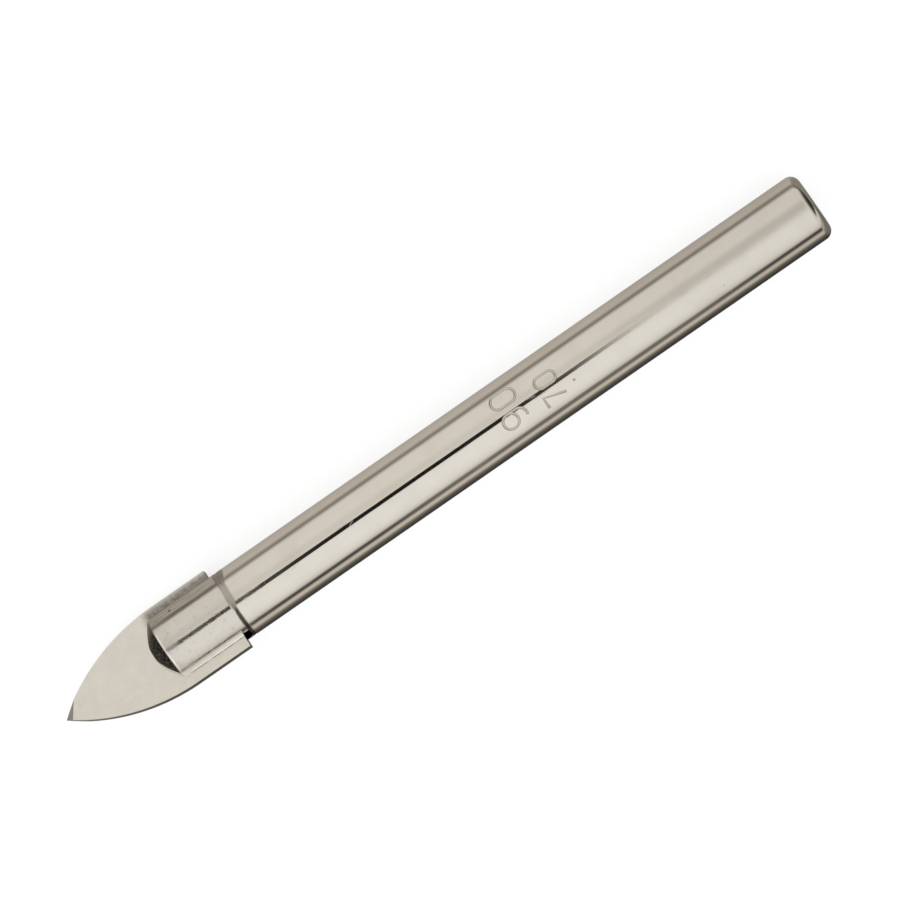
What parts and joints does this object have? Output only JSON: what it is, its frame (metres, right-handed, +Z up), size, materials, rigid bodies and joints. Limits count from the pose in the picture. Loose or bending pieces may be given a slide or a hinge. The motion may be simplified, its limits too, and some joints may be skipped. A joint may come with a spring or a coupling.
{
  "type": "glass and tile drill bit",
  "caption": "Drill bit for glass and tile: a leaf-shaped carbide plate brazed into the slotted nose of a plain round steel shank.",
  "frame": {"origin": "on the floor under the middle of the bit's length, where it lies on its shank with one cutting corner just clear of the floor", "axes": "+X along the shank, from the point to the back end, +Z up"},
  "size_m": [0.09, 0.0086, 0.0073],
  "materials": {
    "plated_steel": "nickel-plated, polished, with small pits and handling scratches",
    "ground_carbide": "fine satin grind",
    "braze_filler": "smooth as it flowed, dulled by heat"
  },
  "bodies": {
    "root": {"shank": "plated_steel", "carbide_tip": "ground_carbide", "braze": "braze_filler"}
  },
  "joints": []
}
